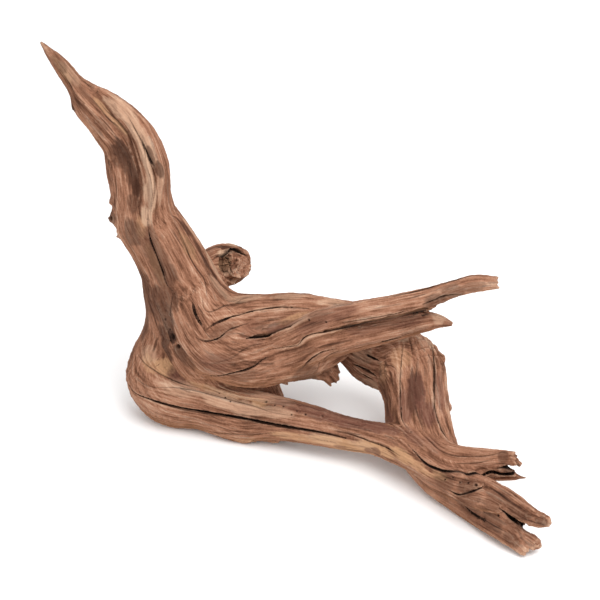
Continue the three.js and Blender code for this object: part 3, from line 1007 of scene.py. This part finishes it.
def knot_rings(points):
    """Height of the rings round each knot, and how dark its heart is."""
    height = np.zeros(len(points), np.float32)
    dark = np.zeros(len(points), np.float32)
    for limb, station, turn, radius in KNOTS:
        far = np.linalg.norm(points - spot(limb, station, turn), axis=1) / radius
        far = far * (0.75 + 0.5 * value_noise(points / (0.8 * radius), 21))
        height += 0.5 * np.exp(-(far - 1) ** 2 * 5) - 1.5 * np.exp(-(far * 1.8) ** 2)
        dark = np.maximum(dark, 0.85 * np.exp(-(far * 1.5) ** 2))
    return height, dark


def fibre_coordinates(points):
    """Each point's place in its own limb, drawn out along the fibres, and how clearly it's that limb's."""
    best = np.full(len(points), 99.0, np.float32)
    second = best.copy()
    place_ = np.zeros((len(points), 3), np.float32)
    for number, limb in enumerate(limbs):
        near = in_reach(limb, points, 8)
        part = points[near].astype(np.float32)
        distance, _ = limb_distance(limb, part)
        row, side, face, over = within(limb, part)
        broad, thick = limb["table"][:, 3].mean(), limb["table"][:, 4].mean()
        mine = np.stack([side / row[:, 3] * broad, face / row[:, 4] * thick,
                         (row[:, 14] + over) / 14 + 50 * number], 1)
        wins = distance < best[near]
        second[near] = np.where(wins, best[near], np.minimum(second[near], distance))
        best[near] = np.where(wins, distance, best[near])
        place_[near[wins]] = mine[wins]
    return place_, ramp(second - best, 0.3, 2.5)


def patch_cover(points, flow, ragged, patches):
    """Where a set of patches shows, from 0 to 1, with edges drawn out along the fibres."""
    shown = np.zeros(len(points), np.float32)
    for limb, station, turn, across, along, strength in patches:
        centre = spot(limb, station, turn)[None]
        off = points - centre
        near = np.nonzero((off ** 2).sum(1) < (2.2 * max(across, along)) ** 2)[0]
        off = off[near]
        run = (off * flow.at(centre)).sum(1)
        side = np.sqrt(np.maximum((off ** 2).sum(1) - run ** 2, 0))
        reach = np.sqrt((side / across) ** 2 + (run / along) ** 2)
        edge = ramp(1.25 - reach + 0.55 * ragged[near], 0, 0.45)
        shown[near] = np.maximum(shown[near], strength * edge)
    return shown


def hollowness(points, normal, quads):
    """How far each point lies below its neighbours' plane, smoothed: above 0 in a hollow."""
    def spread(values):
        total = np.zeros_like(values)
        for a, b in ((0, 1), (1, 2), (2, 3), (3, 0)):
            for axis in range(values.shape[1]):
                total[:, axis] += np.bincount(quads[:, a], values[quads[:, b], axis], len(points))
                total[:, axis] += np.bincount(quads[:, b], values[quads[:, a], axis], len(points))
        return total
    count = spread(np.ones((len(points), 1)))
    smooth = points.astype(float)
    for _ in range(6):
        smooth = spread(smooth) / count
    return ((smooth - points) * normal).sum(1)


def add_value(mesh, name, values):
    attribute = mesh.attributes.new(name, "FLOAT", "POINT")
    attribute.data.foreach_set("value", np.ascontiguousarray(values, np.float32))


def build_mesh(points, quads, values, fibre):
    mesh = bpy.data.meshes.new("driftwood_surface")
    mesh.vertices.add(len(points))
    mesh.vertices.foreach_set("co", (points * 0.001).astype(np.float32).ravel())
    mesh.loops.add(quads.size)
    mesh.loops.foreach_set("vertex_index", quads.astype(np.int32).ravel())
    mesh.polygons.add(len(quads))
    mesh.polygons.foreach_set("loop_start", np.arange(0, quads.size, 4, dtype=np.int32))
    mesh.polygons.foreach_set("loop_total", np.full(len(quads), 4, np.int32))
    mesh.update(calc_edges=True)
    mesh.polygons.foreach_set("use_smooth", np.ones(len(quads), bool))
    for name, numbers in values.items():
        add_value(mesh, name, numbers)
    attribute = mesh.attributes.new("fibre", "FLOAT_VECTOR", "POINT")
    attribute.data.foreach_set("vector", fibre.astype(np.float32).ravel())
    return mesh


def carve():
    """The wood's bare surface as vertices and quads, with its fibre directions and its cracks."""
    centres = coarse_centres()
    coarse, flow, each = survey(centres)
    coarse = ground_cut(coarse, centres)
    cracks = [make_crack(*crack) for crack in CRACKS.values()]
    flow = FlowGrid(follow_cracks(centres, flow, cracks))
    cracks += random_cracks(centres, coarse, flow)
    cells, field = sample_field(centres, coarse, each, cracks)
    points, quads = mesh_of(centres, coarse, cells, field)
    points, quads = largest_piece(points, quads)
    return points, quads, flow, cracks


def fibre_relief(points, fine, middle, broad, hair):
    """How far the fibres and the lumps and crumbs of old bark lift the surface."""
    rough = roughness_of(points)
    lumps = value_noise(points / 7.0, 11) + 0.6 * value_noise(points / 3.2, 12) - 0.8
    crumbs = value_noise(points / 1.9, 13) - 0.5
    bark = 1.6 * rough * lumps + 1.3 * rough * crumbs
    return 0.9 * broad + 0.5 * middle + 0.25 * fine + bark - 0.35 * hair


def stain_and_shade_values(points, flow, fine, middle, broad):
    """Where each kind of stain shows, the dark kind with a few patches of painted shade, with edges made
    ragged by the grain.
    """
    flecks = value_noise(points / 2.4, 14) - 0.5
    ragged = 0.5 * middle + 0.35 * broad + 0.35 * fine + 0.5 * flecks
    return {name: patch_cover(points, flow, ragged, patches) for name, patches in STAIN_AND_SHADE_PATCHES.items()}


def grow_wood():
    points, quads, flow, cracks = carve()
    normal = vertex_normals(points, quads)
    fine, middle, broad = streaks(flow, points)
    hair = ramp(fine, 0.3, 0.75)
    pits, painted_pit_shade = pit_depth(points)
    rings, knot_dark = knot_rings(points)
    shade = crack_shade(points, cracks)
    fibre, clear = fibre_coordinates(points)
    values = {
        "fine": fine * 0.5 + 0.5, "middle": middle * 0.5 + 0.5, "broad": broad * 0.5 + 0.5, "hair": hair,
        # crack: painted shade in cracks and pits, with the real dark hearts of the knots
        "crack": np.maximum(shade, np.maximum(painted_pit_shade, knot_dark)), "clear": clear,
        # painted light: downward faces get a lighter orange tint, standing in for light thrown up onto the
        # undersides
        "painted_underside_light": ramp(-normal[:, 2], 0.0, 0.8), **stain_and_shade_values(points, flow, fine, middle, broad),
    }
    move = fibre_relief(points, fine, middle, broad, hair) + rings - fold_depth(points) - pits - 0.4 * shade
    worn = ramp(points[:, 2], 0.3, 2.0)
    points = points + normal * (move * worn)[:, None]
    hollow = hollowness(points, normal, quads)
    # painted shade: concave places are darkened as shadowed hollows
    values["hollow"] = ramp(hollow, 0.03, 0.6)
    values["edge"] = ramp(-hollow, 0.05, 0.6)
    return build_mesh(points, quads, values, fibre)


# ---------- material ----------

def node(tree, kind, **settings):
    made = tree.nodes.new(kind)
    for name, value in settings.items():
        setattr(made, name, value)
    return made


def attribute(tree, name):
    return node(tree, "ShaderNodeAttribute", attribute_name=name).outputs["Fac"]


def calculate(tree, operation, *values):
    made = node(tree, "ShaderNodeMath", operation=operation)
    for socket, value in zip(made.inputs, values):
        if isinstance(value, (int, float)):
            socket.default_value = value
        else:
            tree.links.new(value, socket)
    return made.outputs[0]


def tint(tree, factor, under, colour):
    """Lays a colour over another where the factor says."""
    made = node(tree, "ShaderNodeMix", data_type="RGBA")
    tree.links.new(factor, made.inputs["Factor"])
    tree.links.new(under, made.inputs["A"])
    made.inputs["B"].default_value = (*colour, 1)
    return made.outputs["Result"]


def noise(tree, place_, scale, detail):
    made = node(tree, "ShaderNodeTexNoise")
    made.inputs["Scale"].default_value = scale
    made.inputs["Detail"].default_value = detail
    tree.links.new(place_, made.inputs["Vector"])
    return made.outputs["Fac"]


def stretch(tree, value, low, high):
    """Turns low..high into 0..1, held at the ends."""
    made = node(tree, "ShaderNodeMapRange")
    made.inputs["From Min"].default_value = low
    made.inputs["From Max"].default_value = high
    tree.links.new(value, made.inputs["Value"])
    return made.outputs["Result"]


WOOD_TONES = (
    (0.00, (0.070, 0.028, 0.015)), (0.25, (0.160, 0.068, 0.038)), (0.50, (0.300, 0.140, 0.083)),
    (0.75, (0.415, 0.230, 0.150)), (1.00, (0.610, 0.420, 0.305)),
)
TONE_PARTS = (("fine", 0.46), ("middle", 0.40), ("broad", 0.20))
OVERLAYS = (  # attribute, share of it that shows, colour
    # painted bounce light on downward faces
    ("painted_underside_light", 0.30, (0.400, 0.190, 0.085)),
    ("edge", 0.38, (0.600, 0.400, 0.275)),
    ("ochre", 0.72, (0.540, 0.310, 0.165)),
    ("pale", 0.62, (0.640, 0.440, 0.300)),
    ("purple", 0.80, (0.105, 0.039, 0.029)),
    # dark stains, a few of them painted shade
    ("dark", 0.95, (0.048, 0.018, 0.010)),
    ("hair", 0.42, (0.055, 0.022, 0.012)),
    # painted shade in hollows
    ("hollow", 0.58, (0.045, 0.017, 0.009)),
    # painted shade in cracks and pits, and the real dark hearts of knots
    ("crack", 0.97, (0.006, 0.003, 0.002)),
)
CHECK_COLOUR = (0.045, 0.018, 0.010)  # the fine checks between fibres


def tone_colour(tree, thread, speck):
    """The colour of bare wood: the grain's streaks, threads, blotches and specks, laid on WOOD_TONES."""
    blotch = noise(tree, node(tree, "ShaderNodeTexCoord").outputs["Object"], 30, 4)
    tone = thread
    for name, share in TONE_PARTS:
        tone = calculate(tree, "MULTIPLY_ADD", attribute(tree, name), share, tone)
    tone = calculate(tree, "MULTIPLY_ADD", blotch, 0.60, tone)
    tone = calculate(tree, "MULTIPLY_ADD", speck, 0.30, tone)
    tone = calculate(tree, "SUBTRACT", tone, 0.53)
    tones = node(tree, "ShaderNodeValToRGB")
    elements = tones.color_ramp.elements
    elements.remove(elements[1])
    for index, (position, colour) in enumerate(WOOD_TONES):
        element = elements[0] if index == 0 else elements.new(position)
        element.position = position
        element.color = (*colour, 1)
    tree.links.new(tone, tones.inputs["Fac"])
    return tones.outputs["Color"]


def weathered_colour(tree, colour, check):
    """Stains (a few dark patches being painted shade), worn edges, grain hairs, painted bounce light on
    undersides, painted shade in hollows, cracks and pits, the dark hearts of knots and the dark of the
    checks, laid over the bare wood.
    """
    for name, share, over in OVERLAYS:
        colour = tint(tree, calculate(tree, "MULTIPLY", attribute(tree, name), share), colour, over)
    return tint(tree, calculate(tree, "MULTIPLY", check, 0.6), colour, CHECK_COLOUR)


def surface_bump(tree, thread, check, speck):
    bump = node(tree, "ShaderNodeBump")
    bump.inputs["Strength"].default_value = 0.7
    bump.inputs["Distance"].default_value = 0.0008
    height = calculate(tree, "MULTIPLY_ADD", speck, 0.5, calculate(tree, "SUBTRACT", thread, check))
    tree.links.new(height, bump.inputs["Height"])
    return bump.outputs["Normal"]


def wood_material():
    material = bpy.data.materials.new("weathered_wood")
    material.use_nodes = True
    tree = material.node_tree
    shader = tree.nodes["Principled BSDF"]
    fibre = node(tree, "ShaderNodeAttribute", attribute_name="fibre").outputs["Vector"]
    clear = attribute(tree, "clear")
    speck = noise(tree, node(tree, "ShaderNodeTexCoord").outputs["Object"], 850, 3)
    thread = calculate(tree, "SUBTRACT", noise(tree, fibre, 0.95, 3), 0.5)
    thread = calculate(tree, "MULTIPLY", thread, clear)
    check = stretch(tree, noise(tree, fibre, 0.42, 4), 0.36, 0.30)
    check = calculate(tree, "MULTIPLY", check, clear)
    colour = weathered_colour(tree, tone_colour(tree, thread, speck), check)
    tree.links.new(colour, shader.inputs["Base Color"])
    rough = calculate(tree, "MULTIPLY_ADD", attribute(tree, "fine"), -0.12, 0.95)
    tree.links.new(rough, shader.inputs["Roughness"])
    shader.inputs["Specular IOR Level"].default_value = 0.15
    tree.links.new(surface_bump(tree, thread, check, speck), shader.inputs["Normal"])
    return material


# ---------- the studio ----------

TARGET = Vector((0.0075, 0.003, 0.1525))
DISTANCE = 1.5
ELEVATION = math.radians(30)
LENS = 112.5
SENSOR = 36
FLOOR_SHADE = (0.93, 0.93, 0.93, 1)
SKY = 0.9  # strength of the white light from all round


def look_at(thing, target):
    thing.rotation_euler = (Vector(target) - thing.location).to_track_quat("-Z", "Y").to_euler()


def add_camera():
    camera = bpy.data.objects.new("camera", bpy.data.cameras.new("camera"))
    camera.data.lens = LENS
    camera.data.sensor_width = SENSOR
    camera.data.clip_end = 50
    back = Vector((0, -math.cos(ELEVATION), math.sin(ELEVATION)))
    camera.location = TARGET + back * DISTANCE
    look_at(camera, TARGET)
    bpy.context.collection.objects.link(camera)
    bpy.context.scene.camera = camera


def add_softbox(name, place_, size, power):
    light = bpy.data.objects.new(name, bpy.data.lights.new(name, "AREA"))
    light.data.size = size
    light.data.energy = power
    light.location = place_
    look_at(light, (0, 0, 0.12))
    bpy.context.collection.objects.link(light)


def add_floor():
    mesh = bpy.data.meshes.new("floor")
    mesh.from_pydata([(-6, -6, 0), (6, -6, 0), (6, 6, 0), (-6, 6, 0)], [], [(0, 1, 2, 3)])
    floor = bpy.data.objects.new("floor", mesh)
    bpy.context.collection.objects.link(floor)
    paint = bpy.data.materials.new("floor")
    paint.use_nodes = True
    shader = paint.node_tree.nodes["Principled BSDF"]
    shader.inputs["Base Color"].default_value = FLOOR_SHADE
    shader.inputs["Roughness"].default_value = 0.9
    mesh.materials.append(paint)


def add_studio():
    add_softbox("key", (0.6, -0.75, 1.6), 1.3, 25)
    add_softbox("fill", (-1.3, -1.1, 0.8), 1.4, 3)
    add_softbox("rim", (0.3, 1.2, 1.3), 1.2, 5)
    world = bpy.data.worlds.new("studio")
    world.use_nodes = True
    background = world.node_tree.nodes["Background"]
    background.inputs["Color"].default_value = (1, 1, 1, 1)
    background.inputs["Strength"].default_value = SKY
    bpy.context.scene.world = world
    add_floor()


wood = bpy.data.objects.new("driftwood_wood", grow_wood())
bpy.context.collection.objects.link(wood)
wood.data.materials.append(wood_material())
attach(wood, "root")
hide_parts("driftwood")

add_camera()
add_studio()
bpy.context.scene.view_settings.view_transform = "Standard"
